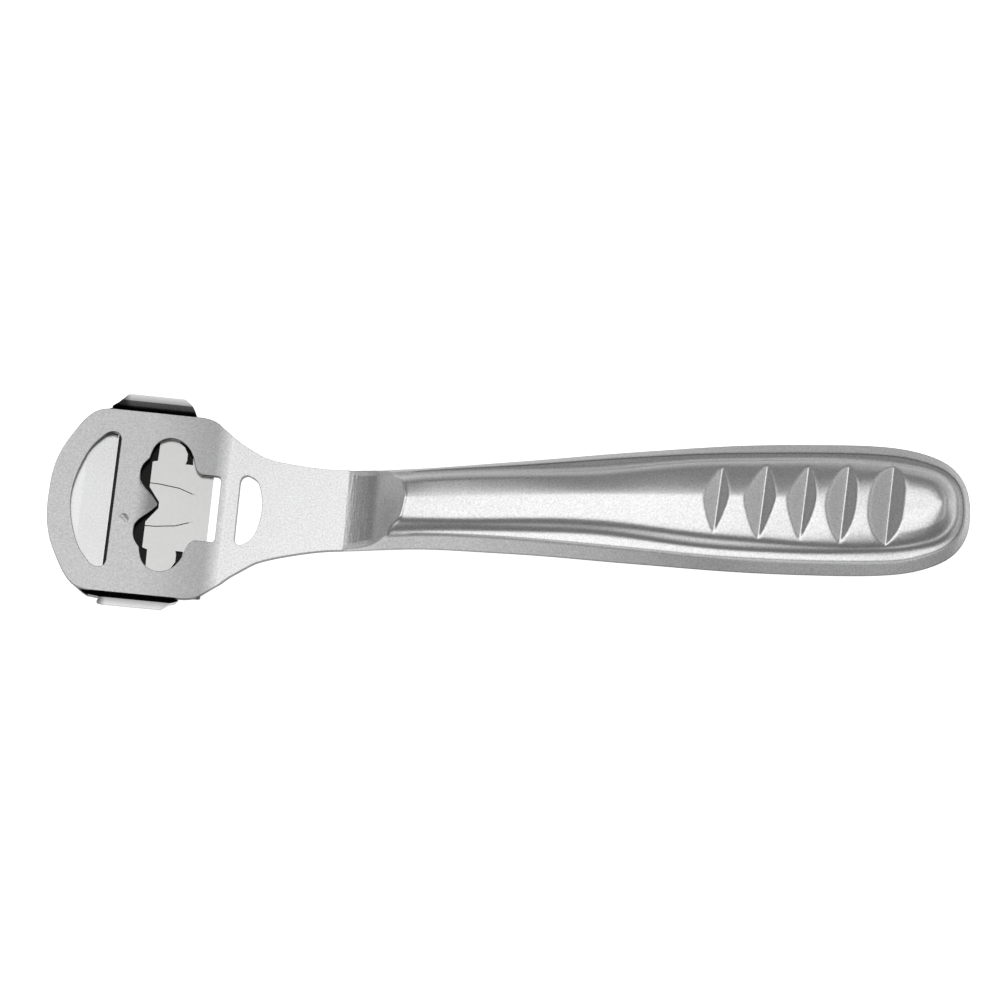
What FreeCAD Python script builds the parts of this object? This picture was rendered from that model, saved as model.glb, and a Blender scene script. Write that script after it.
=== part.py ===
import FreeCAD, Part
import math
import os

"""Callus shaver, millimetres.

X runs along the tool, from the head (-X) to the end of the handle (+X).
Y runs across it and Z is up. The origin is at half the tool's length,
on the table that the tool lies on."""

V = FreeCAD.Vector

# sheet
SHEET = 0.9

# head plate and neck
BEND_X = -50.54
BEND_RADIUS = 3.0
PITCH = 14.5
HEAD_LENGTH = 31.5
HEAD_HALF_WIDTH = 17.75
HEAD_SIDE_START = 5.6
HEAD_SIDE_END = 22.0
BEND_HALF_WIDTH = 14.6
NECK_HALF_WIDTH = 7.8
NECK_END_X = -28.4
PLATE_OVERLAP = 0.3

# window over the mouth of the blade
WINDOW_REAR = 19.9
WINDOW_FRONT = 27.5
WINDOW_HALF_WIDTH = 13.2

# opening over the blade, with its tab
SLOT_END = 1.28
SLOT_HALF_WIDTH = 6.45
LOBE_HALF_WIDTH = 13.0
TAB_TIP = 12.2
TAB_ROOT = 15.65
TAB_HALF_WIDTH = 4.0
TAB_DROP = 0.5

# hole in the neck
HOLE_STRAIGHT_X = -48.35
HOLE_ROUND_X = -43.85
HOLE_HALF_WIDTH = 6.85

# domed handle: ramp and grooves
TIP_X = 81.24
RAMP_START_X = -28.4
GROOVE_SKEW = 5.9
GROOVE_SLOPE = 29.0

# blade, its edge over the mouth of the guard
BLADE_THICKNESS = 0.35
BLADE_GAP = 0.02
BLADE_REAR = 2.67
BLADE_EDGE = 20.5
BLADE_END_INSET = 0.45
BLADE_BEVEL = 0.8
BLADE_SLIT = 0.18

# guard under the blade
GUARD_SHEET = 0.6
GUARD_REAR = 6.2
GUARD_WING_END = 22.3
MOUTH_COVER = 0.9
MOUTH_OPEN = 0.1
MOUTH_HALF_WIDTH = 14.4
LIFT_GAP = 0.15
LIFT_RUN = 5.0
WING_GAP = 0.2
WING_RUN = 1.3
WING_LIP = 1.3
WING_HEIGHT = 1.0
NOSE_INSET = 0.3

# how deep each piece lies under the top face of the head plate
BLADE_TOP = SHEET + BLADE_GAP
GUARD_TOP = BLADE_TOP + BLADE_THICKNESS + BLADE_GAP
GUARD_FRONT_TOP = SHEET + BLADE_GAP

# half widths that follow from the head plate's
BLADE_HALF_LENGTH = HEAD_HALF_WIDTH - BLADE_END_INSET
WING_START = HEAD_HALF_WIDTH + WING_GAP
LIP_START = WING_START + WING_RUN
GUARD_HALF_WIDTH = LIP_START + WING_LIP


class Station:
    """One cross section of the handle: a point of the rim, the point of the
    middle line that the section runs to, and the section's breaks as
    (distance in from the rim, height)."""

    def __init__(self, x, half_width, spine_x, rim, edge, foot, shoulder, crown):
        self.base = V(x, half_width, 0)
        self.spine = V(spine_x, 0, 0)
        self.rim = rim
        self.edge = edge
        self.foot = foot
        self.shoulder = shoulder
        self.crown = crown

    def profile(self):
        """Section as (distance in, height) from the rim to the middle line."""
        reach = (self.spine - self.base).Length
        half = self.shoulder[0] + 0.5 * (reach - self.shoulder[0])
        rise = self.crown - self.shoulder[1]
        top = (half, self.shoulder[1] + 0.75 * rise)
        return [(0.0, self.rim), self.edge, self.foot, self.shoulder, top, (reach, self.crown)]

    def place(self, distance, height, side):
        """Point of the section in the model, on the near (-1) or far (1) side."""
        way = (self.spine - self.base).normalize()
        spot = self.base + way * distance
        return V(spot.x, side * spot.y, height)


STATIONS = [
    Station(-31.0, 7.8, -31.0, 0.0, (0.15, 3.6), (1.6, 4.0), (3.3, 5.2), 5.9),
    Station(-26.0, 7.8, -26.0, 0.35, (1.1, 3.4), (2.3, 4.0), (3.7, 5.3), 6.0),
    Station(-21.0, 7.8, -21.0, 0.85, (1.5, 3.4), (2.75, 4.05), (4.0, 5.45), 6.15),
    Station(-14.0, 7.9, -14.0, 1.4, (1.55, 4.1), (2.7, 4.6), (4.05, 6.0), 6.5),
    Station(-3.4, 8.55, -3.4, 1.7, (1.75, 4.5), (3.05, 4.95), (4.4, 6.4), 6.95),
    Station(7.1, 9.3, 7.1, 1.85, (1.8, 4.38), (3.55, 4.8), (5.0, 6.55), 7.25),
    Station(17.6, 10.25, 17.6, 1.8, (1.85, 4.13), (4.0, 4.55), (5.5, 6.4), 7.35),
    Station(28.1, 11.1, 28.1, 1.65, (1.8, 3.6), (3.8, 4.05), (5.1, 6.1), 7.15),
    Station(35.1, 11.65, 35.1, 1.5, (1.8, 3.15), (3.65, 3.6), (4.85, 5.65), 6.9),
    Station(45.1, 12.2, 45.1, 1.2, (1.9, 2.5), (3.65, 2.9), (4.9, 4.8), 6.2),
    Station(56.1, 12.4, 56.1, 0.75, (1.9, 2.0), (3.55, 2.4), (4.8, 3.9), 5.3),
    Station(65.1, 12.25, 65.1, 0.4, (1.9, 1.55), (3.7, 1.95), (4.75, 3.15), 4.5),
    Station(70.1, 11.7, 68.3, 0.2, (1.8, 1.3), (3.7, 1.7), (4.6, 2.95), 4.32),
    Station(74.4, 10.5, 70.6, 0.1, (1.75, 1.25), (3.4, 1.6), (4.4, 2.9), 4.22),
    Station(77.7, 8.7, 72.2, 0.05, (1.5, 1.25), (3.0, 1.6), (4.0, 2.9), 4.15),
    Station(80.0, 5.9, 73.4, 0.0, (1.15, 1.3), (2.6, 1.65), (3.6, 2.9), 4.1),
    Station(TIP_X, 0.0, 75.0, 0.0, (0.9, 1.35), (2.2, 1.65), (3.2, 2.9), 4.05),
]

# middle line of the ramp that joins the neck to the dome (x, height)
RAMP = [(RAMP_START_X, SHEET), (-28.0, 0.95), (-26.4, 1.22), (-24.4, 1.68), (-22.9, 2.2), (-21.6, 2.9),
        (-19.7, 4.15), (-17.3, 5.75), (-12.0, 9.3)]

# grooves as (x, height of the crease)
GROOVES = [(38.1, 5.6), (45.75, 4.75), (52.85, 4.3), (59.7, 3.65), (67.4, 2.8)]


def shifted(points, amount):
    """The open line of (across, height) points moved down its normals by amount."""
    moved = []
    count = len(points)
    for i in range(count):
        ways = []
        for a, b in ((i - 1, i), (i, i + 1)):
            if a >= 0 and b < count:
                along = points[b][0] - points[a][0]
                up = points[b][1] - points[a][1]
                size = math.hypot(along, up)
                ways.append((up / size, -along / size))
        if len(ways) == 1:
            ways.append(ways[0])
        across = ways[0][0] + ways[1][0]
        height = ways[0][1] + ways[1][1]
        scale = 1.0 + ways[0][0] * ways[1][0] + ways[0][1] * ways[1][1]
        moved.append((points[i][0] + amount * across / scale, points[i][1] + amount * height / scale))
    return moved


def ring(points, steps):
    """Smooth curve through the points of one side, the tip and the other side."""
    other = [V(p.x, -p.y, p.z) for p in reversed(points[:-1])]
    knots = steps + [2 * steps[-1] - s for s in reversed(steps[:-1])]
    curve = Part.BSplineCurve()
    curve.interpolate(Points=points + other, Parameters=knots)
    return curve


def domed_solid(inset, floor):
    """Handle's outer form, or the form inset below it, down to a flat floor."""
    rows = []
    for station in STATIONS:
        profile = station.profile()
        if inset:
            reach = profile[-1][0]
            profile = shifted(profile, inset)
            profile[-1] = (reach, profile[-1][1])
        first = profile[0]
        second = profile[1]
        slope = (second[0] - first[0]) / (second[1] - first[1])
        start = (first[0] + slope * (floor - first[1]), floor)
        rows.append([start] + profile[1:])
    steps = [0.0]
    for a, b in zip(STATIONS[:-1], STATIONS[1:]):
        steps.append(steps[-1] + (b.base - a.base).Length)
    count = len(rows[0])
    rings = []
    for k in range(count - 1):
        points = [s.place(row[k][0], row[k][1], 1) for s, row in zip(STATIONS, rows)]
        rings.append(ring(points, steps))
    spine_points = [V(s.spine.x, 0, row[-1][1]) for s, row in zip(STATIONS, rows)]
    spine = Part.BSplineCurve()
    spine.interpolate(Points=spine_points, Parameters=steps)
    back = Part.BSplineCurve()
    back.interpolate(Points=list(reversed(spine_points)), Parameters=[steps[-1] - s for s in reversed(steps)])
    middle = steps[-1]
    far = [curve.toShape(0.0, middle) for curve in rings] + [spine.toShape()]
    near = [curve.toShape(middle, 2 * middle) for curve in rings] + [back.toShape()]
    faces = []
    for edges in (far, near):
        for a, b in zip(edges[:-1], edges[1:]):
            faces.append(Part.makeRuledSurface(a, b))
    cap = [STATIONS[0].place(p[0], p[1], 1) for p in rows[0]]
    cap += [V(p.x, -p.y, p.z) for p in reversed(cap[:-1])]
    faces.append(Part.Face(Part.makePolygon(cap + [cap[0]])))
    faces.append(Part.Face(Part.Wire([far[0], near[0], Part.makeLine(cap[-1], cap[0])])))
    sewn = Part.makeCompound(faces)
    sewn.sewShape(0.001)
    shell = sewn.Shells[0]
    solid = Part.Solid(shell)
    if solid.Volume < 0:
        solid.reverse()
    return solid


def under_line(points, bottom, half_width):
    """Block under a smooth line in X-Z, as wide as half_width each way."""
    top = Part.BSplineCurve()
    top.interpolate([V(x, -half_width, z) for x, z in points])
    first = top.value(top.FirstParameter)
    last = top.value(top.LastParameter)
    low_first = V(first.x, first.y, bottom)
    low_last = V(last.x, last.y, bottom)
    wire = Part.Wire([top.toShape(), Part.makeLine(last, low_last), Part.makeLine(low_last, low_first),
                      Part.makeLine(low_first, first)])
    return Part.Face(wire).extrude(V(0, 2 * half_width, 0))


def ramp_block(inset):
    """Everything below the ramp and behind it, for the outer or the inset form."""
    line = RAMP
    if inset:
        line = shifted(RAMP, inset)
    curve = under_line(line, -4.0, 20.0)
    end = line[-1][0]
    rest = Part.makeBox(TIP_X + 10 - end, 40, line[-1][1] + 4.0, V(end, -20, -4.0))
    return curve.fuse(rest)


def groove_wedge(x, height):
    """V-shaped tool for one groove, its crease at the given place."""
    rise = 6.0
    run = rise / math.tan(math.radians(GROOVE_SLOPE))
    points = [V(0, -20, 0), V(run, -20, rise), V(-run, -20, rise), V(0, -20, 0)]
    wedge = Part.Face(Part.makePolygon(points)).extrude(V(0, 40, 0))
    wedge.rotate(V(0, 0, 0), V(0, 0, 1), -GROOVE_SKEW)
    wedge.translate(V(x, 0, height))
    return wedge


def dome():
    """Pressed shell of the handle with its ramp and grooves."""
    outer = domed_solid(0.0, -1.6).common(ramp_block(0.0))
    void = domed_solid(SHEET, -2.4).common(ramp_block(SHEET))
    drop = SHEET / math.cos(math.radians(GROOVE_SLOPE))
    outer = outer.cut([groove_wedge(x, z) for x, z in GROOVES])
    void = void.cut([groove_wedge(x, z - drop) for x, z in GROOVES])
    shell = outer.cut(void)
    rim = [(s.base.x, s.rim) for s in STATIONS[:-2]]
    low = under_line(rim, -5.0, 30.0)
    rest = Part.makeBox(30, 60, 5.0, V(rim[-1][0], -30, -5.0 + rim[-1][1]))
    shell = shell.cut(low).cut(rest)
    front = Part.makeBox(10, 40, 20, V(NECK_END_X - 10, -20, -5))
    return shell.cut(front)


def prism(wire, low, high):
    """Straight prism on a wire in the X-Y plane."""
    face = Part.Face(wire)
    face.translate(V(0, 0, low))
    return face.extrude(V(0, 0, high - low))


def on_head(shape):
    """Moves a shape built on the head's own axes (x = distance from the bend
    toward the nose, z = height over the plate's top face) into the model."""
    moved = shape.copy()
    moved = moved.mirror(V(0, 0, 0), V(1, 0, 0))
    moved.rotate(V(0, 0, 0), V(0, 1, 0), PITCH)
    moved.translate(V(BEND_X, 0, SHEET))
    return moved


def through(points, start=None, end=None):
    """Smooth edge through points, with end directions if they are given."""
    curve = Part.BSplineCurve()
    vectors = [V(x, y, 0) for x, y in points]
    if start is None and end is None:
        curve.interpolate(vectors)
    else:
        curve.interpolate(Points=vectors, InitialTangent=V(*start, 0), FinalTangent=V(*end, 0))
    return curve.toShape()


def line(a, b):
    return Part.makeLine(V(*a, 0), V(*b, 0))


def flip(points):
    return [(x, -y) for x, y in reversed(points)]


def head_outline():
    """Outline of the head plate on its own axes."""
    shoulder = [(-0.6, 14.05), (0.0, BEND_HALF_WIDTH), (1.8, 16.05), (3.6, 17.3), (HEAD_SIDE_START, HEAD_HALF_WIDTH)]
    nose = [(HEAD_SIDE_END, HEAD_HALF_WIDTH), (24.2, 17.35), (26.15, 15.95), (28.3, 12.7), (30.15, 8.9),
            (31.25, 5.0), (HEAD_LENGTH, 0.0)]
    whole_nose = nose + flip(nose)[1:]
    edges = [
        through(shoulder),
        line(shoulder[-1], nose[0]),
        through(whole_nose, (1, 0), (-1, 0)),
        line(flip(nose)[-1], flip(shoulder)[0]),
        through(flip(shoulder)),
        line(flip(shoulder)[-1], shoulder[0]),
    ]
    return Part.Wire(edges)


def neck_outline():
    """Outline of the flat neck in the model's axes."""
    side = [(BEND_X - PLATE_OVERLAP, BEND_HALF_WIDTH + PLATE_OVERLAP), (BEND_X, BEND_HALF_WIDTH), (-48.4, 12.9),
            (-46.3, 11.6), (-44.4, 10.45), (-41.9, 9.6), (-38.9, 8.95), (-35.4, 8.35), (-32.0, 7.95),
            (NECK_END_X, NECK_HALF_WIDTH)]
    edges = [
        through(side),
        line(side[-1], flip(side)[0]),
        through(flip(side)),
        line(flip(side)[-1], side[0]),
    ]
    return Part.Wire(edges)


def window_outline():
    """D-shaped window over the mouth."""
    corner = [(WINDOW_REAR, 11.8), (WINDOW_REAR + 0.4, 12.8), (21.4, WINDOW_HALF_WIDTH), (22.6, 12.75)]
    arc = [(22.6, 12.75), (24.7, 10.2), (26.3, 6.6), (WINDOW_FRONT, 0.0)]
    front = arc + flip(arc)[1:]
    edges = [
        line((WINDOW_REAR, -11.8), (WINDOW_REAR, 11.8)),
        through(corner),
        through(front),
        through(flip(corner)),
    ]
    return Part.Wire(Part.__sortEdges__(edges))


def opening_outline():
    """Lobed opening over the blade, with the slot behind it."""
    tab = [(TAB_TIP, 0.0), (13.6, 1.9), (14.9, 3.2), (TAB_ROOT, TAB_HALF_WIDTH + 0.3)]
    inner = [tab[-1], (15.8, 5.4), (15.5, 7.2), (14.45, 8.7)]
    outer = [inner[-1], (14.2, 9.9), (13.3, 11.8), (11.1, LOBE_HALF_WIDTH), (8.9, 12.5), (7.3, 10.9), (6.4, 8.9),
             (5.6, 7.0), (4.9, SLOT_HALF_WIDTH)]
    side = [outer[-1], (SLOT_END + 0.7, SLOT_HALF_WIDTH)]
    corner = [side[-1], (SLOT_END + 0.2, SLOT_HALF_WIDTH - 0.2), (SLOT_END, SLOT_HALF_WIDTH - 0.7)]
    edges = []
    for points in (tab, inner, outer, corner):
        edges.append(through(points))
        edges.append(through(flip(points)))
    edges.append(line(*side))
    edges.append(line(*flip(side)))
    edges.append(line(corner[-1], flip(corner)[0]))
    return Part.Wire(Part.__sortEdges__(edges))


def hole_outline():
    """D-shaped hole in the neck, in the model's axes."""
    corner = [(HOLE_STRAIGHT_X, 5.6), (HOLE_STRAIGHT_X + 0.4, 6.5), (-47.1, HOLE_HALF_WIDTH)]
    round_side = [corner[-1], (-45.4, 5.8), (-44.2, 3.0), (HOLE_ROUND_X, 0.0)]
    whole = round_side + flip(round_side)[1:]
    edges = [
        line((HOLE_STRAIGHT_X, -5.6), (HOLE_STRAIGHT_X, 5.6)),
        through(corner),
        through(whole),
        through(flip(corner)),
    ]
    return Part.Wire(Part.__sortEdges__(edges))


def bent_sheet():
    """Sheet of the neck and head seen from the side, as wide as a blank."""
    angle = math.radians(PITCH)
    reach = BEND_RADIUS * math.tan(angle / 2)
    way = V(-math.cos(angle), 0, math.sin(angle))
    up = V(math.sin(angle), 0, math.cos(angle))
    corner = V(BEND_X, 0, SHEET)
    start = corner + V(reach, 0, 0)
    end = corner + way * reach
    centre = start + V(0, 0, BEND_RADIUS)
    half = math.radians(PITCH / 2)
    toward = V(-math.sin(half), 0, -math.cos(half))
    nose = corner + way * (HEAD_LENGTH + 2)
    top = [
        Part.makeLine(V(NECK_END_X, 0, SHEET), start),
        Part.Arc(start, centre + toward * BEND_RADIUS, end).toShape(),
        Part.makeLine(end, nose),
    ]
    outer = BEND_RADIUS + SHEET
    low_start = start - V(0, 0, SHEET)
    low_end = end - up * SHEET
    low_nose = nose - up * SHEET
    bottom = [
        Part.makeLine(low_nose, low_end),
        Part.Arc(low_end, centre + toward * outer, low_start).toShape(),
        Part.makeLine(low_start, V(NECK_END_X, 0, 0)),
    ]
    ends = [
        Part.makeLine(nose, low_nose),
        Part.makeLine(V(NECK_END_X, 0, 0), V(NECK_END_X, 0, SHEET)),
    ]
    face = Part.Face(Part.Wire(Part.__sortEdges__(top + bottom + ends)))
    face.translate(V(0, -25, 0))
    return face.extrude(V(0, 50, 0))


def tab():
    """Tab of the head plate, turned down toward the blade."""
    half = TAB_HALF_WIDTH - 0.25
    outline = [V(TAB_ROOT + 0.9, half, 0), V(TAB_ROOT - 0.4, half, 0), V(TAB_TIP + 0.35, 0.35, 0),
               V(TAB_TIP + 0.35, -0.35, 0), V(TAB_ROOT - 0.4, -half, 0), V(TAB_ROOT + 0.9, -half, 0)]
    body = prism(Part.makePolygon(outline + [outline[0]]), -SHEET - TAB_DROP, 0.0)
    side = [V(TAB_ROOT + 0.9, -5, 0), V(TAB_ROOT, -5, 0), V(TAB_TIP, -5, -TAB_DROP),
            V(TAB_TIP, -5, -TAB_DROP - 0.75 * SHEET), V(TAB_ROOT, -5, -SHEET), V(TAB_ROOT + 0.9, -5, -SHEET)]
    bent = Part.Face(Part.makePolygon(side + [side[0]])).extrude(V(0, 10, 0))
    return body.common(bent)


def handle():
    """Head plate, neck and domed handle, pressed from one sheet."""
    plan = on_head(prism(head_outline(), -6, 6)).fuse(prism(neck_outline(), -6, 12))
    plate = bent_sheet().common(plan)
    root = [(TAB_ROOT + 0.1, -TAB_HALF_WIDTH - 0.35), (TAB_ROOT + 0.1, TAB_HALF_WIDTH + 0.35),
            (TAB_TIP - 0.5, 0.5), (TAB_TIP - 0.5, -0.5)]
    patch = prism(Part.makePolygon([V(x, y, 0) for x, y in root + [root[0]]]), -3, 3)
    cutter = prism(opening_outline(), -3, 3).fuse(patch).removeSplitter()
    plate = plate.cut(on_head(cutter))
    plate = plate.cut(on_head(prism(window_outline(), -3, 3)))
    plate = plate.cut(prism(hole_outline(), -2, 3))
    plate = plate.fuse(on_head(tab()))
    shape = plate.fuse(dome()).removeSplitter()
    return shape


def blade():
    """Thin blade under the head plate, its edge at the mouth."""
    top = -BLADE_TOP
    body = Part.makeBox(BLADE_EDGE - BLADE_REAR, 2 * BLADE_HALF_LENGTH, BLADE_THICKNESS,
                        V(BLADE_REAR, -BLADE_HALF_LENGTH, top - BLADE_THICKNESS))
    bevel = [V(BLADE_EDGE - BLADE_BEVEL, -20, top), V(BLADE_EDGE + 0.1, -20, top),
             V(BLADE_EDGE + 0.1, -20, top - BLADE_THICKNESS + 0.05), V(BLADE_EDGE, -20, top - BLADE_THICKNESS + 0.05)]
    body = body.cut(Part.Face(Part.makePolygon(bevel + [bevel[0]])).extrude(V(0, 40, 0)))
    notch = [(11.9, -0.6), (11.9, 0.6), (13.9, 3.4), (13.9, 8.4), (13.0, 8.7), (12.9, 12.4), (16.6, 12.4),
             (16.6, -12.4), (12.9, -12.4), (13.0, -8.7), (13.9, -8.4), (13.9, -3.4)]
    cutter = prism(Part.makePolygon([V(x, y, 0) for x, y in notch + [notch[0]]]), -5, 5)
    body = body.cut(cutter)
    for side in (-1, 1):
        slit = [(13.9, 4.1), (12.1, 4.05), (8.6, 3.6), (5.6, 2.5)]
        low = [(x, side * y) for x, y in slit]
        high = [(x, side * (y + BLADE_SLIT)) for x, y in reversed(slit)]
        body = body.cut(prism(Part.makePolygon([V(x, y, 0) for x, y in low + high + [low[0]]]), -5, 5))
        gap = [(6.6, 8.5), (6.9, 10.8), (8.3, 12.6), (9.6, 12.75), (8.5, 11.9), (7.8, 10.6), (7.8, 9.2), (8.0, 8.5)]
        points = [V(x, side * y, 0) for x, y in gap]
        body = body.cut(prism(Part.makePolygon(points + [points[0]]), -5, 5))
    return on_head(body)


def guard_outline():
    """Plan of the guard with its wings laid out, on the head's axes."""
    wide = GUARD_HALF_WIDTH
    side = [(GUARD_REAR, wide - 4.6), (GUARD_REAR + 0.3, wide - 2.9), (GUARD_REAR + 1.2, wide - 1.7),
            (GUARD_REAR + 2.1, wide - 0.8), (GUARD_REAR + 3.1, wide)]
    corner = [(GUARD_WING_END - 3.4, wide), (GUARD_WING_END - 2.0, wide - 1.0), (GUARD_WING_END, wide - 2.1),
              (24.2, HEAD_HALF_WIDTH - 0.45), (25.9, HEAD_HALF_WIDTH - 1.75), (28.0, HEAD_HALF_WIDTH - 4.85),
              (29.9, HEAD_HALF_WIDTH - 9.15), (HEAD_LENGTH - NOSE_INSET - 0.2, HEAD_HALF_WIDTH - 13.15),
              (HEAD_LENGTH - NOSE_INSET, 0.0)]
    nose = corner + flip(corner)[1:]
    edges = [through(nose, (1, 0), (-1, 0)), line(side[-1], corner[0]), line(flip(corner)[-1], flip(side)[0])]
    for half in (side, flip(side)):
        for a, b in zip(half[:-1], half[1:]):
            edges.append(line(a, b))
    edges.append(line(flip(side)[-1], side[0]))
    return Part.Wire(Part.__sortEdges__(edges))


def guard():
    """Guard sheet under the blade, with the mouth and the two raised wings."""
    seat = -GUARD_TOP
    front = -GUARD_FRONT_TOP
    lift = BLADE_EDGE + LIFT_GAP
    side = [V(GUARD_REAR, 0, seat), V(lift, 0, seat), V(lift + LIFT_RUN, 0, front), V(HEAD_LENGTH, 0, front),
            V(HEAD_LENGTH, 0, front - GUARD_SHEET), V(lift + LIFT_RUN, 0, front - GUARD_SHEET),
            V(lift, 0, seat - GUARD_SHEET), V(GUARD_REAR, 0, seat - GUARD_SHEET)]
    sheet = Part.Face(Part.makePolygon(side + [side[0]]))
    sheet.translate(V(0, -GUARD_HALF_WIDTH, 0))
    sheet = sheet.extrude(V(0, 2 * GUARD_HALF_WIDTH, 0))
    length = GUARD_WING_END - GUARD_REAR
    seat_half = WING_START - WING_GAP
    for way in (-1, 1):
        low = min(way * seat_half, way * (seat_half + GUARD_HALF_WIDTH))
        clear = Part.makeBox(length + 1, GUARD_HALF_WIDTH, 6, V(GUARD_REAR - 1, low, -4))
        sheet = sheet.cut(clear).fuse(wing(way, seat_half, seat, length))
    shape = sheet.common(prism(guard_outline(), -6, 6))
    mouth = Part.makeBox(MOUTH_COVER + MOUTH_OPEN, 2 * MOUTH_HALF_WIDTH, 6,
                         V(BLADE_EDGE - MOUTH_COVER, -MOUTH_HALF_WIDTH, -5))
    return on_head(shape.cut(mouth).removeSplitter())


def wing(way, seat_half, seat, length):
    """One side of the guard, raised outside the head plate and over its top face."""
    top = [(seat_half, seat), (WING_START, seat), (LIP_START, WING_HEIGHT), (GUARD_HALF_WIDTH, WING_HEIGHT)]
    under = shifted(top, GUARD_SHEET)
    points = [V(GUARD_REAR, way * y, z) for y, z in top + list(reversed(under))]
    return Part.Face(Part.makePolygon(points + [points[0]])).extrude(V(length, 0, 0))


def main():
    os.makedirs("parts", exist_ok=True)
    for name, make in (("handle", handle), ("blade", blade), ("blade_guard", guard)):
        shape = make()
        if shape.ShapeType == "Compound" and len(shape.Solids) == 1:
            shape = shape.Solids[0]
        print(name, shape.ShapeType, len(shape.Solids), shape.isValid(), round(shape.Volume, 1), shape.BoundBox)
        shape.exportStep("parts/" + name + ".step")


main()
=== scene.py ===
import bpy
import bmesh
import math
import numpy as np
from mathutils import Matrix, Vector

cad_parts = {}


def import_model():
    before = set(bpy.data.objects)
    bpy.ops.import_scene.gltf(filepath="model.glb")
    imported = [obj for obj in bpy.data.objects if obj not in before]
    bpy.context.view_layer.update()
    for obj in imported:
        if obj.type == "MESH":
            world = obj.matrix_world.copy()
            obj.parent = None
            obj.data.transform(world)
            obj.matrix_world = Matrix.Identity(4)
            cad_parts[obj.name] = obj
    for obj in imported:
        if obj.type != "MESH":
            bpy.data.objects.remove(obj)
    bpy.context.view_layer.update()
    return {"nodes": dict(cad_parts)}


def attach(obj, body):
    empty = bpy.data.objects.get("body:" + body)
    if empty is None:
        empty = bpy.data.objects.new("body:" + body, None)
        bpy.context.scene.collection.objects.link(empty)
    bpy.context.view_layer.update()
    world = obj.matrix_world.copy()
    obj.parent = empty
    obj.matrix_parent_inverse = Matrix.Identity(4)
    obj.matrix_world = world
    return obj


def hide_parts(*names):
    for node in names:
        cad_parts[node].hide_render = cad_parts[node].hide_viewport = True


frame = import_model()

MM = 0.001

# sizes, millimetres, as in the solid
SHEET = 0.9
BEND_X = -50.54
BEND_RADIUS = 3.0
PITCH = math.radians(14.5)
HEAD_LENGTH = 31.5
HEAD_HALF_WIDTH = 17.75
NECK_HALF_WIDTH = 7.8
SLOT_HALF_WIDTH = 6.45
TAB_TIP = 12.2
TAB_ROOT = 15.65
TAB_DROP = 0.5
SEAM_X = -28.4
TIP_X = 81.2
GROOVE_SKEW = math.radians(5.9)
GROOVE_SLOPE = math.radians(29.0)

# plate: rounding of its edges, how far from its faces a cut edge counts as one, where
# the blank is divided for its bend, the part of it that is pressed down as the tab, and
# how straight a face has to lie on the sheet to be shaded flat
PLATE_EDGE_RADIUS = 0.11
CUT_EDGE_MARGIN = 0.06
BEND_DIVIDED_TO = 0.42
TAB_PRESS_ZONE = (-16.2, -11.5)
TAB_PRESS_START = 16.1
TAB_PRESS_HALF_WIDTH = 5.0
TAB_PRESS_DEPTH = TAB_DROP + 0.1
TAB_PRESS_POWER = 1.6
FLAT_FACE = 0.9997

# shell: steps along its rim, and the spans of x where they are fine
FINE_STEP = 0.18
COARSE_STEP = 0.6
FINE_SPANS = ((-29.0, -13.0), (33.5, 72.0))
# points of a section: rim to edge, edge, edge to foot, foot, foot to shoulder, shoulder, dome
SECTION_POINTS = (9, 7, 14, 10, 4, 12, 22)
# how its corners, dome, crease, flange, ramp, bead and grooves are rounded or blended; the crease is a line of
# painted shade
EDGE_ROUNDING = 0.3
CORNER_ROUNDING = 1.0
NEAR_MIDDLE = 0.45
SHOULDER_SHARE = 0.22
DOME_POWER = 1.42
END_POWER_GAIN = 2.0
FLATTER_FROM_X = 52.0
FLATTER_OVER = 16.0
CREASE_OFFSET = 0.3
CREASE_WIDTH = 0.14
CREASE_START_X = -16.8
CREASE_FADE = 1.5
CREASE_ABOVE = 1.0
FLANGE_BLEND = 0.2
RAMP_ROUNDING = 0.45
BEAD_HEIGHT = 0.19
BEAD_OFFSET = 0.34
BEAD_WIDTH = 0.25
GROOVE_ROOT = 0.12
GROOVE_ROUNDING = 0.22
OUT_OF_REACH = 50.0

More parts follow.
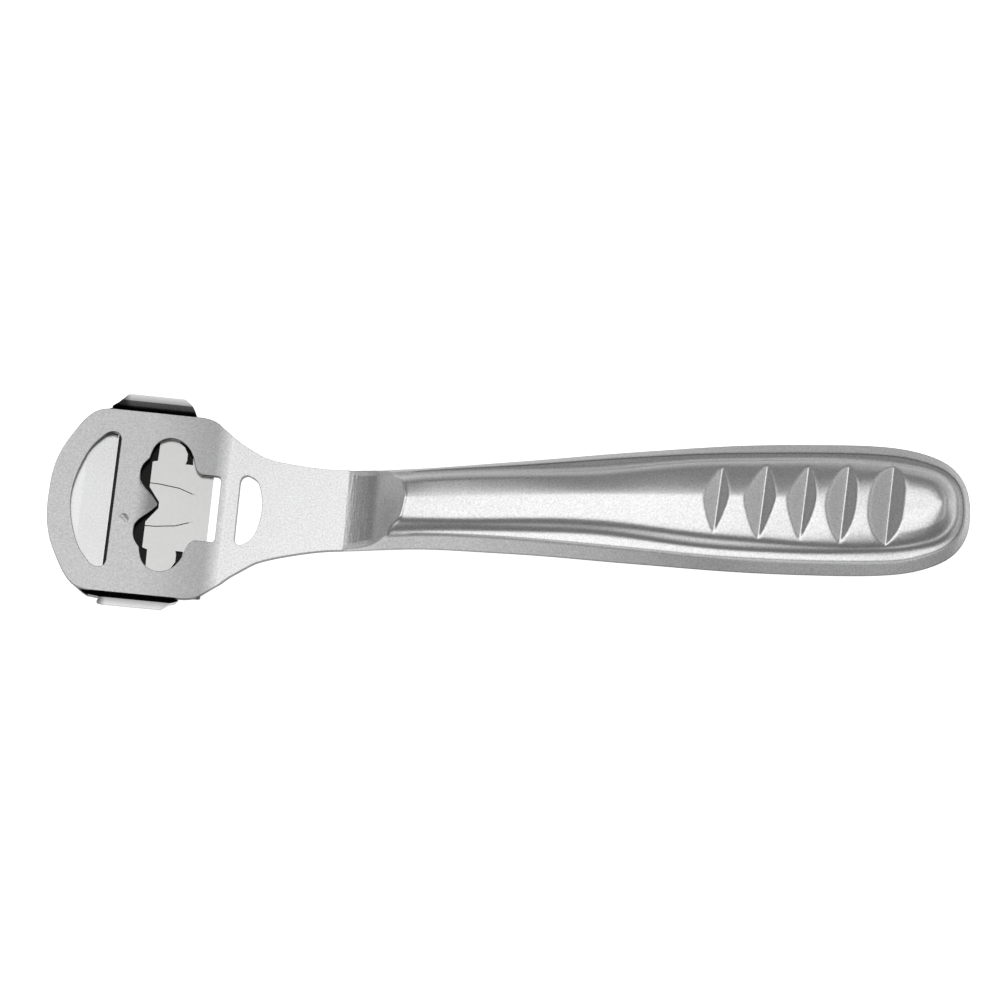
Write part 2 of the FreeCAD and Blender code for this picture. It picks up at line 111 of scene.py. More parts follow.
# handle sections: x, half width, spine x, rim height, then edge, foot and shoulder
# as distance in and height, then the height of the crown
SECTIONS = [
    (-31.0, NECK_HALF_WIDTH, -31.0, 0.0, 0.15, 3.6, 1.6, 4.0, 3.3, 5.2, 5.9),
    (-26.0, NECK_HALF_WIDTH, -26.0, 0.35, 1.1, 3.4, 2.3, 4.0, 3.7, 5.3, 6.0),
    (-21.0, NECK_HALF_WIDTH, -21.0, 0.85, 1.5, 3.4, 2.75, 4.05, 4.0, 5.45, 6.15),
    (-14.0, 7.9, -14.0, 1.4, 1.55, 4.1, 2.7, 4.6, 4.05, 6.0, 6.5),
    (-3.4, 8.55, -3.4, 1.7, 1.75, 4.5, 3.05, 4.95, 4.4, 6.4, 6.95),
    (7.1, 9.3, 7.1, 1.85, 1.8, 4.38, 3.55, 4.8, 5.0, 6.55, 7.25),
    (17.6, 10.25, 17.6, 1.8, 1.85, 4.13, 4.0, 4.55, 5.5, 6.4, 7.35),
    (28.1, 11.1, 28.1, 1.65, 1.8, 3.6, 3.8, 4.05, 5.1, 6.1, 7.15),
    (35.1, 11.65, 35.1, 1.5, 1.8, 3.15, 3.65, 3.6, 4.85, 5.65, 6.9),
    (45.1, 12.2, 45.1, 1.2, 1.9, 2.5, 3.65, 2.9, 4.9, 4.8, 6.2),
    (56.1, 12.4, 56.1, 0.75, 1.9, 2.0, 3.55, 2.4, 4.8, 3.9, 5.3),
    (65.1, 12.25, 65.1, 0.4, 1.9, 1.55, 3.7, 1.95, 4.75, 3.15, 4.5),
    (70.1, 11.7, 68.3, 0.2, 1.8, 1.3, 3.7, 1.7, 4.6, 2.95, 4.24),
    (74.4, 10.5, 70.6, 0.1, 1.75, 1.25, 3.4, 1.6, 4.4, 2.9, 4.18),
    (77.7, 8.7, 72.2, 0.05, 1.5, 1.25, 3.0, 1.6, 4.0, 2.9, 4.16),
    (80.0, 5.9, 73.4, 0.03, 1.15, 1.3, 2.6, 1.65, 3.6, 2.9, 4.15),
    (TIP_X, 0.0, 75.0, 0.03, 0.9, 1.35, 2.2, 1.65, 3.2, 2.9, 4.15),
]
# middle line of the ramp from the neck to the dome (x, height)
RAMP = [(-36.0, SHEET), (-32.0, SHEET), (-28.6, SHEET), (-28.0, 0.95), (-26.4, 1.22), (-24.4, 1.68),
        (-22.9, 2.2), (-21.8, 2.85), (-20.1, 4.1), (-18.0, 5.75), (-13.5, 9.4)]
RAMP_SEEN_TO = -12.5
# grooves as (x, height of the crease)
GROOVES = [(38.1, 5.6), (45.75, 4.75), (52.85, 4.3), (59.7, 3.65), (67.4, 2.8)]


# curves
def spline(knots, values, wanted):
    """Natural cubic spline through values (rows) at knots, read at wanted."""
    t = np.asarray(knots, float)
    v = np.asarray(values, float)
    n = len(t)
    h = np.diff(t)
    a = np.zeros((n, n))
    b = np.zeros((n,) + v.shape[1:])
    a[0, 0] = a[-1, -1] = 1.0
    for i in range(1, n - 1):
        a[i, i - 1] = h[i - 1]
        a[i, i] = 2 * (h[i - 1] + h[i])
        a[i, i + 1] = h[i]
        b[i] = 6 * ((v[i + 1] - v[i]) / h[i] - (v[i] - v[i - 1]) / h[i - 1])
    m = np.linalg.solve(a, b)
    w = np.clip(np.asarray(wanted, float), t[0], t[-1])
    k = np.clip(np.searchsorted(t, w) - 1, 0, n - 2)
    hk = h[k]
    x0 = (t[k + 1] - w) / hk
    x1 = (w - t[k]) / hk
    if v.ndim > 1:
        hk, x0, x1 = hk[:, None], x0[:, None], x1[:, None]
    return x0 * v[k] + x1 * v[k + 1] + ((x0 ** 3 - x0) * m[k] + (x1 ** 3 - x1) * m[k + 1]) * hk ** 2 / 6


def path(points, step):
    """Smooth line through points, sampled about every step."""
    p = np.asarray(points, float)
    t = np.concatenate([[0], np.cumsum(np.linalg.norm(np.diff(p, axis=0), axis=1))])
    count = max(3, int(t[-1] / step) + 1)
    return [tuple(q) for q in spline(t, p, np.linspace(0, t[-1], count))]


def flip(points):
    """The same points on the other side, in the opposite order."""
    return [(x, -y) for x, y in reversed(points)]


def shifted(points, amount):
    """The open line of (across, height) points moved down its normals by amount."""
    moved = []
    count = len(points)
    for i in range(count):
        ways = []
        for a, b in ((i - 1, i), (i, i + 1)):
            if a >= 0 and b < count:
                along = points[b][0] - points[a][0]
                up = points[b][1] - points[a][1]
                size = math.hypot(along, up)
                ways.append((up / size, -along / size))
        if len(ways) == 1:
            ways.append(ways[0])
        across = ways[0][0] + ways[1][0]
        height = ways[0][1] + ways[1][1]
        scale = 1.0 + ways[0][0] * ways[1][0] + ways[0][1] * ways[1][1]
        moved.append((points[i][0] + amount * across / scale, points[i][1] + amount * height / scale))
    return moved


# handle shell
def bezier(a, corner, b, count):
    """Rounded corner from a to b, count points."""
    t = np.linspace(0, 1, count)[:, None]
    return (1 - t) ** 2 * a + 2 * t * (1 - t) * corner + t ** 2 * b


def toward(a, b, length):
    """Point on the way from a to b, at length or near the middle."""
    way = b - a
    size = np.linalg.norm(way)
    return a + way * min(length, NEAR_MIDDLE * size) / size


def section_points(profile, crown, power):
    """Section from the rim to the middle line with its corners rounded; power
    sets how flat the top is."""
    rim, edge, foot, shoulder = (np.array(p) for p in profile)
    reach, top = crown

    def dome(d):
        far = (reach - d) / (reach - shoulder[0])
        return np.array([d, top - (top - shoulder[1]) * far ** power])

    a, b = toward(edge, rim, EDGE_ROUNDING), toward(edge, foot, EDGE_ROUNDING)
    c, d = toward(foot, edge, CORNER_ROUNDING), toward(foot, shoulder, CORNER_ROUNDING)
    e = toward(shoulder, foot, CORNER_ROUNDING)
    after = dome(shoulder[0] + SHOULDER_SHARE * (reach - shoulder[0]))
    to_edge, at_edge, to_foot, at_foot, to_shoulder, at_shoulder, over_dome = SECTION_POINTS
    return np.concatenate([
        np.linspace(rim, a, to_edge)[:-1], bezier(a, edge, b, at_edge)[:-1],
        np.linspace(b, c, to_foot)[:-1], bezier(c, foot, d, at_foot)[:-1],
        np.linspace(d, e, to_shoulder)[:-1], bezier(e, shoulder, after, at_shoulder)[:-1],
        np.array([dome(v) for v in np.linspace(after[0], reach, over_dome)])])


def smooth_min(a, b, width):
    """Lower of two heights, blended over width."""
    h = np.clip(0.5 + 0.5 * (b - a) / width, 0, 1)
    return b + (a - b) * h - width * h * (1 - h)


def pressed(x, y, z, inset):
    """Lowers the dome to the ramp and into the grooves."""
    line = shifted(RAMP, inset) if inset else RAMP
    knots = [p[0] for p in line]
    height = spline(knots, [p[1] for p in line], np.clip(x, knots[0], knots[-1]))
    height = np.where(x > knots[-1], OUT_OF_REACH, height)
    over = z - height
    out = smooth_min(z, height, RAMP_ROUNDING)
    bead = BEAD_HEIGHT * np.exp(-((over + BEAD_OFFSET) / BEAD_WIDTH) ** 2)
    out = out + bead * (x < RAMP_SEEN_TO)
    drop = inset / math.cos(GROOVE_SLOPE)
    for gx, gz in GROOVES:
        across = (x - gx) * math.cos(GROOVE_SKEW) - y * math.sin(GROOVE_SKEW)
        wall = np.sqrt(across ** 2 + GROOVE_ROOT ** 2) - GROOVE_ROOT
        out = smooth_min(out, gz - drop + wall * math.tan(GROOVE_SLOPE), GROOVE_ROUNDING)
    return out


def shell_rows(inset, us, knots, table):
    """Grid of x, y, z, crease and flange, one row a section, inset below the outside."""
    values = spline(knots, table, us)
    grid = []
    for v in values:
        x, half, sx, rim, ed, ez, fd, fz, sd, sz, top = v
        base = np.array([x, half])
        spine = np.array([sx, 0.0])
        reach = np.linalg.norm(spine - base)
        way = (spine - base) / reach
        line = [(0.0, rim), (ed, ez), (fd, fz), (sd, sz), (reach, top)]
        if inset:
            line = shifted(line, inset)
            slope = (line[1][0] - line[0][0]) / (line[1][1] - line[0][1])
            line[0] = (line[0][0] + slope * (rim - line[0][1]), rim)
            line[-1] = (reach, top - inset)
        power = DOME_POWER + END_POWER_GAIN * min(max((x - FLATTER_FROM_X) / FLATTER_OVER, 0.0), 1.0)
        section = section_points(line[:4], (reach, line[-1][1]), power)
        inward = section[:, 0] - line[1][0] - CREASE_OFFSET
        fade = min(max((x - CREASE_START_X) / CREASE_FADE, 0.0), 1.0)
        # the crease: the line between the side and the flange that gets painted shade
        crease = np.exp(-(inward / CREASE_WIDTH) ** 2) * fade
        flange = np.clip(-inward / FLANGE_BLEND, 0.0, 1.0)
        plan = base + section[:, :1] * way
        grid.append(np.column_stack([plan, section[:, 1], crease, flange]))
    grid = np.array(grid)
    grid[:, :, 2] = pressed(grid[:, :, 0], grid[:, :, 1], grid[:, :, 2], inset)
    return grid


def handle_shell():
    """Domed part of the handle: outer and inner skin, joined at the rim."""
    other = [(s[0], -s[1]) + s[2:] for s in reversed(SECTIONS[:-1])]
    table = np.array(SECTIONS + other)
    step = np.linalg.norm(np.diff(table[:, :2], axis=0), axis=1)
    knots = np.concatenate([[0], np.cumsum(step)])
    middle = knots[len(SECTIONS) - 1]
    start = SEAM_X - SECTIONS[0][0]
    us = [start]
    while us[-1] < middle:
        x = SECTIONS[0][0] + us[-1]
        fine = any(low < x < high for low, high in FINE_SPANS)
        us.append(us[-1] + (FINE_STEP if fine else COARSE_STEP))
    us[-1] = middle
    us = us + [2 * middle - u for u in reversed(us[:-1])]
    us = np.array(us)
    meshes = []
    for inset in (0.0, SHEET):
        grid = shell_rows(inset, us, knots, table)
        grid[0, :, 0] = SEAM_X
        grid[-1, :, 0] = SEAM_X
        meshes.append(grid)
    outer, inner = meshes
    n, m = outer.shape[:2]
    verts = np.concatenate([outer.reshape(-1, 5), inner.reshape(-1, 5)])
    verts[:, 2] = np.maximum(verts[:, 2], 0.0)
    faces = []
    for i in range(n - 1):
        for j in range(m - 1):
            a = i * m + j
            faces.append((a, a + 1, a + m + 1, a + m))
            b = n * m + a
            faces.append((b, b + m, b + m + 1, b + 1))
        a = i * m
        faces.append((a, a + m, n * m + a + m, n * m + a))
    mesh = bpy.data.meshes.new("handle_shell")
    mesh.from_pydata([tuple(v) for v in verts[:, :3] * MM], [], faces)
    # painted shade along the crease, with the rim's cut edge darkened as well
    crease_shade_and_rim = verts[:, 3] * (verts[:, 2] > CREASE_ABOVE)
    crease_shade_and_rim.reshape(2 * n, m)[:, 0] = 1.0
    crease = mesh.attributes.new("crease", "FLOAT", "POINT")
    crease.data.foreach_set("value", crease_shade_and_rim.astype(np.float32))
    flange = mesh.attributes.new("flange", "FLOAT", "POINT")
    flange.data.foreach_set("value", verts[:, 4].astype(np.float32))
    bm = bmesh.new()
    bm.from_mesh(mesh)
    bmesh.ops.remove_doubles(bm, verts=bm.verts, dist=0.00001)
    bmesh.ops.recalc_face_normals(bm, faces=bm.faces)
    bm.to_mesh(mesh)
    bm.free()
    mesh.shade_smooth()
    mesh.set_sharp_from_angle(angle=math.radians(55))
    obj = bpy.data.objects.new("handle_shell", mesh)
    bpy.context.scene.collection.objects.link(obj)
    return obj


# neck and head plate
def plate_outlines():
    """Outline and holes of the flat blank; x runs from the bend, + toward the handle."""
    def head(points):
        """Points given by their distance from the bend toward the nose."""
        return [(-s, t) for s, t in points]

    side = path([(27.0, NECK_HALF_WIDTH), (22.1, NECK_HALF_WIDTH), (18.54, 7.95), (15.1, 8.35), (11.6, 8.95),
                 (8.6, 9.6), (6.1, 10.45), (4.2, 11.6), (2.1, 12.9), (0.0, 14.6), (-1.8, 16.05), (-3.6, 17.3),
                 (-5.6, HEAD_HALF_WIDTH)], 0.3)
    nose = path(head([(22.0, HEAD_HALF_WIDTH), (24.2, 17.35), (26.15, 15.95), (28.3, 12.7), (30.15, 8.9),
                      (31.2, 5.0), (HEAD_LENGTH, 0.0), (31.2, -5.0), (30.15, -8.9), (28.3, -12.7),
                      (26.15, -15.95), (24.2, -17.35), (22.0, -HEAD_HALF_WIDTH)]), 0.3)
    outline = side + nose + flip(side)
    corner = path(head([(19.9, 11.8), (20.3, 12.8), (21.4, 13.2), (22.6, 12.75)]), 0.2)
    arc = path(head([(22.6, 12.75), (24.7, 10.2), (26.3, 6.6), (27.5, 0.0), (26.3, -6.6), (24.7, -10.2),
                     (22.6, -12.75)]), 0.3)
    window = corner[:-1] + arc[:-1] + flip(corner)
    tab = path(head([(TAB_TIP, 0.25), (13.6, 1.9), (14.9, 3.2), (TAB_ROOT, 4.3)]), 0.2)
    inner = path(head([(TAB_ROOT, 4.3), (15.8, 5.4), (15.5, 7.2), (14.45, 8.7)]), 0.2)
    outer = path(head([(14.45, 8.7), (14.2, 9.9), (13.3, 11.8), (11.1, 13.0), (8.9, 12.5), (7.3, 10.9),
                       (6.4, 8.9), (5.6, 7.0), (4.9, SLOT_HALF_WIDTH)]), 0.2)
    end = path(head([(1.98, SLOT_HALF_WIDTH), (1.48, 6.25), (1.28, 5.75)]), 0.2)
    half = tab[:-1] + inner[:-1] + outer + end
    opening = half + flip(half)
    hcorner = path([(2.19, 5.6), (2.59, 6.5), (3.44, 6.85)], 0.2)
    hround = path([(3.44, 6.85), (5.14, 5.8), (6.34, 3.0), (6.69, 0.0), (6.34, -3.0), (5.14, -5.8),
                   (3.44, -6.85)], 0.25)
    hole = hcorner[:-1] + hround[:-1] + flip(hcorner)
    return outline, [window, opening, hole]


def bent(x, y, z):
    """Place in the model of a point of the flat blank, z from its underside."""
    reach = BEND_RADIUS * math.tan(PITCH / 2)
    h = z - SHEET
    if x >= reach:
        return BEND_X + x, y, z
    if x <= -reach:
        s = -x
        return (BEND_X - s * math.cos(PITCH) + h * math.sin(PITCH), y,
                SHEET + s * math.sin(PITCH) + h * math.cos(PITCH))
    turn = PITCH * (reach - x) / (2 * reach)
    r = BEND_RADIUS - h
    return (BEND_X + reach - r * math.sin(turn), y, SHEET + BEND_RADIUS - r * math.cos(turn))


def plate():
    """Neck and head plate, bent at the head, with its tab turned down."""
    outline, holes = plate_outlines()
    curve = bpy.data.curves.new("plate_curve", "CURVE")
    curve.dimensions = "2D"
    curve.fill_mode = "BOTH"
    curve.extrude = (SHEET / 2 - PLATE_EDGE_RADIUS) * MM
    curve.bevel_depth = PLATE_EDGE_RADIUS * MM
    curve.bevel_resolution = 2
    curve.offset = -PLATE_EDGE_RADIUS * MM
    for points in [outline] + holes:
        line = curve.splines.new("POLY")
        line.points.add(len(points) - 1)
        line.points.foreach_set("co", [c for x, y in points for c in (x * MM, y * MM, 0.0, 1.0)])
        line.use_cyclic_u = True
    source = bpy.data.objects.new("plate_source", curve)
    bpy.context.scene.collection.objects.link(source)
    graph = bpy.context.evaluated_depsgraph_get()
    mesh = bpy.data.meshes.new_from_object(source.evaluated_get(graph))
    bpy.data.objects.remove(source)
    bm = bmesh.new()
    bm.from_mesh(mesh)
    bmesh.ops.remove_doubles(bm, verts=bm.verts, dist=0.000002)
    bend_cuts = list(np.linspace(-BEND_DIVIDED_TO, BEND_DIVIDED_TO, 9))
    tab_cuts = [-v for v in np.arange(12.4, 16.3, 0.3)]
    for x in bend_cuts + tab_cuts:
        bmesh.ops.bisect_plane(bm, geom=bm.verts[:] + bm.edges[:] + bm.faces[:], plane_co=(x * MM, 0, 0),
                               plane_no=(1, 0, 0), dist=0.0000005)
    # the neck ends at the seam, where the shell goes on
    seam = (SEAM_X - BEND_X) * MM
    bmesh.ops.bisect_plane(bm, geom=bm.verts[:] + bm.edges[:] + bm.faces[:], plane_co=(seam, 0, 0),
                           plane_no=(1, 0, 0), clear_outer=True)
    # the cut edges go into the crease mask, which darkens them
    cut_edge = bm.verts.layers.float.new("crease")
    for v in bm.verts:
        x, y, z = v.co.x / MM, v.co.y / MM, v.co.z / MM + SHEET / 2
        v[cut_edge] = 1.0 if CUT_EDGE_MARGIN < z < SHEET - CUT_EDGE_MARGIN else 0.0
        if TAB_PRESS_ZONE[0] < x < TAB_PRESS_ZONE[1] and abs(y) < TAB_PRESS_HALF_WIDTH:
            way = min(max((x + TAB_PRESS_START) / (TAB_PRESS_START - TAB_TIP), 0.0), 1.0)
            z -= TAB_PRESS_DEPTH * way ** TAB_PRESS_POWER
        v.co = Vector(bent(x, y, z)) * MM
    bmesh.ops.recalc_face_normals(bm, faces=bm.faces)
    bm.to_mesh(mesh)
    bm.free()
    mesh.name = "head_plate"
    mesh.shade_smooth()
    mesh.set_sharp_from_angle(angle=math.radians(24))
    tilted = Vector((math.sin(PITCH), 0.0, math.cos(PITCH)))
    for face in mesh.polygons:
        face.use_smooth = abs(face.normal.z) < FLAT_FACE and abs(face.normal.dot(tilted)) < FLAT_FACE
    obj = bpy.data.objects.new("head_plate", mesh)
    bpy.context.scene.collection.objects.link(obj)
    return obj


# materials
def value_in(tree, socket, value):
    """Sets a socket to a number, or links an output to it."""
    if isinstance(value, (int, float)):
        socket.default_value = value
    else:
        tree.links.new(value, socket)


def maths(tree, operation, *values):
    """Result of one operation on numbers or outputs."""
    node = tree.nodes.new("ShaderNodeMath")
    node.operation = operation
    for socket, value in zip(node.inputs, values):
        value_in(tree, socket, value)
    return node.outputs[0]


def ranged(tree, value, low, high, first=0.0, last=1.0):
    """Runs from first to last while value goes from low to high."""
    node = tree.nodes.new("ShaderNodeMapRange")
    for name, number in (("From Min", low), ("From Max", high), ("To Min", first), ("To Max", last)):
        node.inputs[name].default_value = number
    tree.links.new(value, node.inputs["Value"])
    return node.outputs["Result"]


def coordinate(tree, kind, axis=None):
    """Texture coordinate of one kind, or one axis of it."""
    place = tree.nodes.new("ShaderNodeTexCoord")
    if axis is None:
        return place.outputs[kind]
    split = tree.nodes.new("ShaderNodeSeparateXYZ")
    tree.links.new(place.outputs[kind], split.inputs[0])
    return split.outputs[axis]


def noise(tree, scale, detail, lines=None):
    """Noise over the object, stretched along its axes by lines if they are given."""
    place = coordinate(tree, "Object")
    if lines:
        stretch = tree.nodes.new("ShaderNodeMapping")
        stretch.inputs["Scale"].default_value = lines
        tree.links.new(place, stretch.inputs["Vector"])
        place = stretch.outputs["Vector"]
    node = tree.nodes.new("ShaderNodeTexNoise")
    node.inputs["Scale"].default_value = scale
    node.inputs["Detail"].default_value = detail
    tree.links.new(place, node.inputs["Vector"])
    return node.outputs["Fac"]


def relief(tree, height, strength, depth):
    """Adds a bump to the shader's normal."""
    normal = tree.nodes["Principled BSDF"].inputs["Normal"]
    lift = tree.nodes.new("ShaderNodeBump")
    lift.inputs["Strength"].default_value = strength
    lift.inputs["Distance"].default_value = depth
    tree.links.new(height, lift.inputs["Height"])
    if normal.links:
        tree.links.new(normal.links[0].from_socket, lift.inputs["Normal"])
    tree.links.new(lift.outputs["Normal"], normal)


def steel(name, colour, rough, grain, bump, speckle):
    """Satin steel, a little uneven in colour, with fine grain. Gives the material
    and its node tree."""
    mat = bpy.data.materials.new(name)
    mat.use_nodes = True
    tree = mat.node_tree
    shader = tree.nodes["Principled BSDF"]
    shader.inputs["Metallic"].default_value = 1.0
    fine = noise(tree, scale=2600.0, detail=3.0)
    tree.links.new(maths(tree, "MULTIPLY_ADD", fine, grain * 4, rough - grain * 2), shader.inputs["Roughness"])
    uneven = tree.nodes.new("ShaderNodeMix")
    uneven.data_type = "RGBA"
    uneven.inputs[6].default_value = tuple(c * 0.96 for c in colour) + (1.0,)
    uneven.inputs[7].default_value = tuple(min(1.0, c * 1.03) for c in colour) + (1.0,)
    tree.links.new(noise(tree, scale=120.0, detail=4.0), uneven.inputs[0])
    grained = tree.nodes.new("ShaderNodeVectorMath")
    grained.operation = "SCALE"
    tree.links.new(uneven.outputs[2], grained.inputs[0])
    specks = ranged(tree, noise(tree, scale=3300.0, detail=1.0), low=0.25, high=0.75,
                    first=1.0 - speckle, last=1.0 + speckle * 0.6)
    tree.links.new(specks, grained.inputs["Scale"])
    tree.links.new(grained.outputs[0], shader.inputs["Base Color"])
    relief(tree, fine, strength=bump, depth=0.0001)
    return mat, tree


def part_of(tree, axis, low, high):
    """Mask from 0 at low to 1 at high, in metres along one axis of the model, and
    across the tool by the distance from its middle."""
    place = coordinate(tree, "Object", axis)
    if axis == "Y":
        place = maths(tree, "ABSOLUTE", place)
    return ranged(tree, place, low, high)


def marked(tree, name):
    """Mask stored at the mesh's points: crease, the painted shade between the handle's side and its flange, with
    the darkened cut edges, or flange, round the handle."""
    node = tree.nodes.new("ShaderNodeAttribute")
    node.attribute_name = name
    return node.outputs["Fac"]


def facing_up(tree, low=0.3):
    """Mask that is 0 where the normal's height is under low, and 1 just over it."""
    return ranged(tree, coordinate(tree, "Normal", "Z"), low, low + 0.12)


def near_point(tree, point, radius):
    """Mask that is 1 at a point and falls to 0 at radius, in metres."""
    away = tree.nodes.new("ShaderNodeVectorMath")
    away.operation = "DISTANCE"
    away.inputs[1].default_value = point
    tree.links.new(coordinate(tree, "Object"), away.inputs[0])
    return ranged(tree, away.outputs["Value"], radius, 0.0)


def times(tree, first, *others):
    """Product of masks."""
    for other in others:
        first = maths(tree, "MULTIPLY", first, other)
    return first


def tinted(tree, mask, factor):
    """Multiplies the base colour by factor where the mask is 1."""
    colour = tree.nodes["Principled BSDF"].inputs["Base Color"]
    mix = tree.nodes.new("ShaderNodeMix")
    mix.data_type = "RGBA"
    mix.blend_type = "MULTIPLY"
    mix.inputs[7].default_value = (factor, factor, factor, 1.0)
    tree.links.new(mask, mix.inputs[0])
    tree.links.new(colour.links[0].from_socket, mix.inputs[6])
    tree.links.new(mix.outputs[2], colour)


def rougher(tree, mask, amount):
    """Adds amount to the roughness where the mask is 1."""
    rough = tree.nodes["Principled BSDF"].inputs["Roughness"]
    tree.links.new(maths(tree, "MULTIPLY_ADD", mask, amount, rough.links[0].from_socket), rough)


def coat(obj, mat):
    """Gives the object this one material."""
    obj.data.materials.clear()
    obj.data.materials.append(mat)


def handle_steel():
    """Satin steel, with painted shade over the head and toward its bend, the ramp's scratches, the small mark on
    the head plate, painted shade along the line between the handle's side and its flange, dark cut edges and a
    duller flange."""
    mat, tree = steel("satin_steel", colour=(0.76, 0.76, 0.765), rough=0.3, grain=0.03, bump=0.11, speckle=0.19)
    # painted shade: the tilted head plate is darker all over
    tinted(tree, part_of(tree, "X", -0.0500, -0.0530), factor=0.66)
    # painted shade: the head plate grows darker toward its bend
    painted_shade_toward_bend = times(tree, part_of(tree, "X", -0.0645, -0.0550), part_of(tree, "X", -0.0503, -0.0533))
    tinted(tree, painted_shade_toward_bend, factor=0.76)
    ramp = times(tree, part_of(tree, "X", -0.0290, -0.0280), part_of(tree, "X", -0.0165, -0.0175))
    scratches = noise(tree, scale=3200.0, detail=2.0, lines=(1.0, 0.08, 0.3))
    relief(tree, times(tree, scratches, ramp), strength=1.0, depth=0.000025)
    mark = near_point(tree, point=(-0.0676, -0.0036, 0.0060), radius=0.0012)
    relief(tree, times(tree, noise(tree, scale=2000.0, detail=2.0), mark), strength=1.0, depth=0.0004)
    # painted shade along the line between the handle's side and flange; the cut edges are darkened too
    tinted(tree, marked(tree, "crease"), factor=0.42)
    rougher(tree, marked(tree, "flange"), amount=0.2)
    return mat


def blade_steel():
    """Smoother steel, with a dark line of painted shade along its edge beside the window."""
    mat, tree = steel("blade_steel", colour=(0.585, 0.585, 0.58), rough=0.3, grain=0.02, bump=0.03, speckle=0.04)
    # painted shade: near black on top along the blade's edge beside the window
    painted_shade_beside_window = part_of(tree, "X", -0.06935, -0.06950)
    tinted(tree, times(tree, painted_shade_beside_window, facing_up(tree)), factor=0.10)
    return mat


def guard_steel():
    """Steel of the guard, with painted shade on top where the two other sheets keep the light out."""
    mat, tree = steel("guard_steel", colour=(0.69, 0.69, 0.695), rough=0.28, grain=0.02, bump=0.02, speckle=0.05)
    # painted shade: near black on top in the middle, under the head plate's opening
    painted_shade_inside = times(tree, part_of(tree, "X", -0.0668, -0.0662), part_of(tree, "Y", 0.0166, 0.0161))
    tinted(tree, times(tree, painted_shade_inside, facing_up(tree)), factor=0.02)
    # painted shade: near black on top along the bends of the wings, beside the head plate's edges
    bend = times(tree, part_of(tree, "Y", 0.0207, 0.0180), part_of(tree, "Y", 0.0171, 0.0174))
    tinted(tree, times(tree, bend, facing_up(tree)), factor=0.03)
    # painted shade: darker toward the nose at the outer sides, by the head plate's nose
    corner = times(tree, part_of(tree, "X", -0.0688, -0.0698), part_of(tree, "Y", 0.0140, 0.0165))
    tinted(tree, times(tree, corner, facing_up(tree, low=-0.42)), factor=0.3)
    return mat


satin = handle_steel()
shell = handle_shell()
head = plate()
for piece in (shell, head):
    coat(piece, satin)
    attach(piece, "root")
    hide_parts("handle")
coat(frame["nodes"]["handle"], satin)
coat(frame["nodes"]["blade"], blade_steel())
coat(frame["nodes"]["blade_guard"], guard_steel())


# stage and light: the floor's size, and its height just under the tool, in metres
FLOOR_HALF_WIDTH = 3.0
FLOOR_Z = -0.0001


def glow(tree, kind, strength):
    """White emission or background of some strength, a number or an output."""
    node = tree.nodes.new(kind)
    node.inputs["Color"].default_value = (1.0, 1.0, 1.0, 1.0)
    value_in(tree, node.inputs["Strength"], strength)
    return node.outputs[0]


def seen_or_not(tree, others, camera_rays):
    """One shader for the camera's own rays and another for all others."""
    ray = tree.nodes.new("ShaderNodeLightPath")
    mix = tree.nodes.new("ShaderNodeMixShader")
    for socket, value in zip(mix.inputs, (ray.outputs["Is Camera Ray"], others, camera_rays)):
        tree.links.new(value, socket)
    return mix.outputs[0]


def both(tree, first, second):
    """Sum of two shaders."""
    node = tree.nodes.new("ShaderNodeAddShader")
    tree.links.new(first, node.inputs[0])
    tree.links.new(second, node.inputs[1])
    return node.outputs[0]


def floor():
    """Pale floor, white to the camera and less bright to everything else, least so
    on the far side of the tool."""
    mesh = bpy.data.meshes.new("floor")
    h = FLOOR_HALF_WIDTH
    mesh.from_pydata([(-h, -h, 0), (h, -h, 0), (h, h, 0), (-h, h, 0)], [], [(0, 1, 2, 3)])
    obj = bpy.data.objects.new("floor", mesh)
    bpy.context.scene.collection.objects.link(obj)
    obj.location.z = FLOOR_Z
    mat = bpy.data.materials.new("floor_white")
    mat.use_nodes = True
    tree = mat.node_tree
    tree.nodes.clear()
    out = tree.nodes.new("ShaderNodeOutputMaterial")
    paint = tree.nodes.new("ShaderNodeBsdfDiffuse")
    paint.inputs["Color"].default_value = (0.9, 0.9, 0.9, 1)
    level = ranged(tree, coordinate(tree, "Object", "Y"), low=0.0, high=0.03, first=0.45, last=0.0)
    faint = both(tree, paint.outputs[0], glow(tree, "ShaderNodeEmission", strength=level))
    white = both(tree, paint.outputs[0], glow(tree, "ShaderNodeEmission", strength=0.85))
    tree.links.new(seen_or_not(tree, faint, white), out.inputs["Surface"])
    mesh.materials.append(mat)


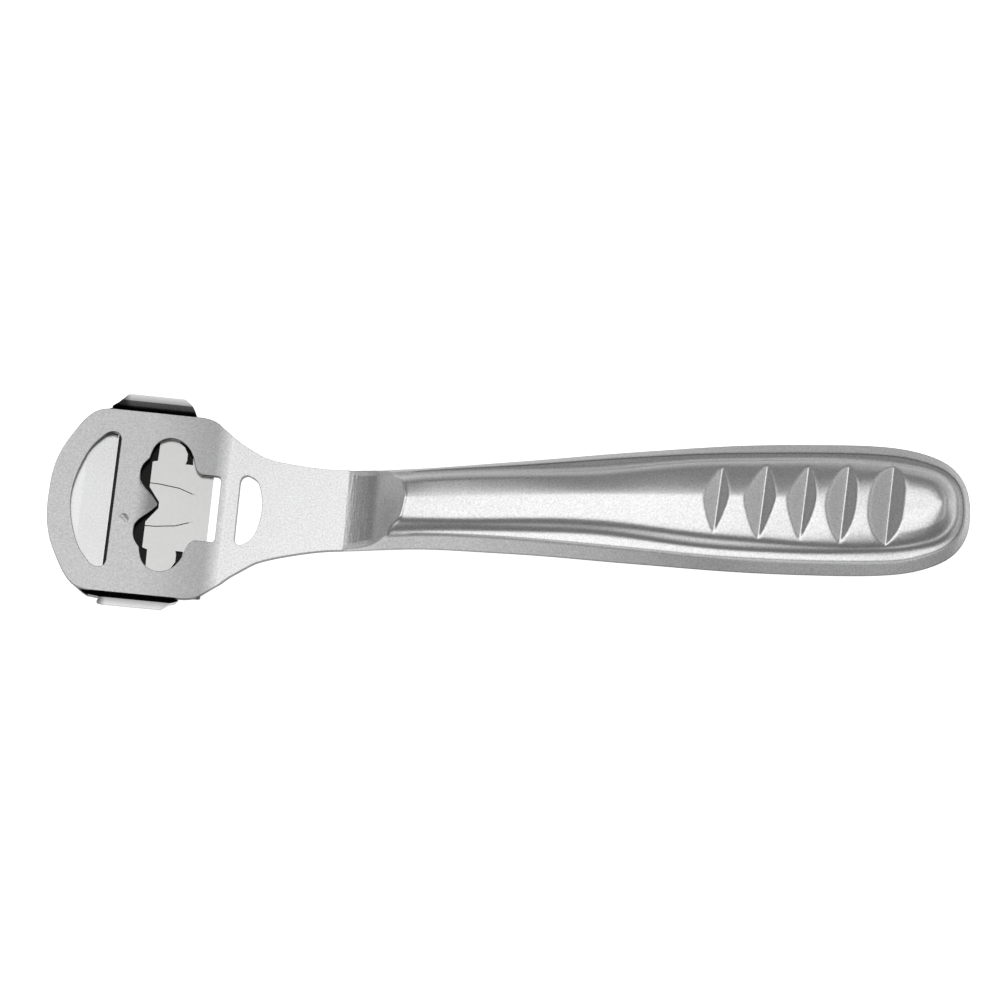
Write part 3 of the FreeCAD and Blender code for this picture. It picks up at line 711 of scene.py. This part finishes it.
def world(low, high):
    """White to the camera. To everything else it is grey, from low overhead to high at
    the horizon, and on the far side it grows lighter from higher up."""
    studio = bpy.data.worlds.new("studio")
    bpy.context.scene.world = studio
    studio.use_nodes = True
    tree = studio.node_tree
    tree.nodes.clear()
    out = tree.nodes.new("ShaderNodeOutputWorld")
    up = coordinate(tree, "Generated", "Z")
    far = ranged(tree, coordinate(tree, "Generated", "Y"), low=-0.25, high=0.25)
    far_side = maths(tree, "MULTIPLY", ranged(tree, up, low=0.62, high=0.0), far)
    lighter = maths(tree, "MAXIMUM", far_side, ranged(tree, up, low=0.36, high=0.12))
    level = maths(tree, "MULTIPLY_ADD", lighter, high - low, low)
    grey = glow(tree, "ShaderNodeBackground", strength=level)
    white = glow(tree, "ShaderNodeBackground", strength=1.0)
    tree.links.new(seen_or_not(tree, grey, white), out.inputs["Surface"])


def area(name, place, size, power, turn=0.0):
    """Soft light that looks straight down; size in metres, power in watts."""
    light = bpy.data.lights.new(name, "AREA")
    light.shape = "RECTANGLE"
    light.size, light.size_y = size
    light.energy = power
    obj = bpy.data.objects.new(name, light)
    obj.location = place
    obj.rotation_euler = (0.0, 0.0, turn)
    bpy.context.scene.collection.objects.link(obj)


floor()
world(low=0.16, high=0.55)
area("overhead", place=(-0.078, 0.045, 0.8), size=(0.77, 1.02), power=3.01, turn=math.radians(-12.0))
area("side", place=(0.95, 0.45, 0.8), size=(0.70, 1.3), power=1.29)


# camera: how far it is turned, leaned and rolled, how far away it stands, how wide a
# strip of the table it sees there, and the point that it looks at, in metres
CAMERA_TURN = math.radians(8.25)
CAMERA_LEAN = math.radians(24.0)
CAMERA_ROLL = math.radians(-0.08)
CAMERA_DISTANCE = 0.45
SEEN_WIDTH = 0.1775
TARGET = Vector((-0.0009, 0.00226, 0.0))


def camera():
    """Camera over the near side, turned and leaned as the photo's was."""
    turned, leaned = math.sin(CAMERA_TURN), math.sin(CAMERA_LEAN)
    ahead, upright = math.cos(CAMERA_TURN), math.cos(CAMERA_LEAN)
    away = Vector((turned, -ahead * leaned, ahead * upright))
    right = Vector((ahead, turned * leaned, -turned * upright))
    up = Vector((0.0, upright, leaned))
    across = right * math.cos(CAMERA_ROLL) + up * math.sin(CAMERA_ROLL)
    top = up * math.cos(CAMERA_ROLL) - right * math.sin(CAMERA_ROLL)
    lens = bpy.data.cameras.new("camera")
    lens.sensor_width = 36.0
    lens.lens = lens.sensor_width * CAMERA_DISTANCE / SEEN_WIDTH
    lens.clip_start = 0.01
    obj = bpy.data.objects.new("camera", lens)
    axes = Matrix((across, top, away)).transposed()
    obj.matrix_world = Matrix.Translation(TARGET + away * CAMERA_DISTANCE) @ axes.to_4x4()
    bpy.context.scene.collection.objects.link(obj)
    bpy.context.scene.camera = obj


camera()
bpy.context.scene.view_settings.view_transform = "Standard"
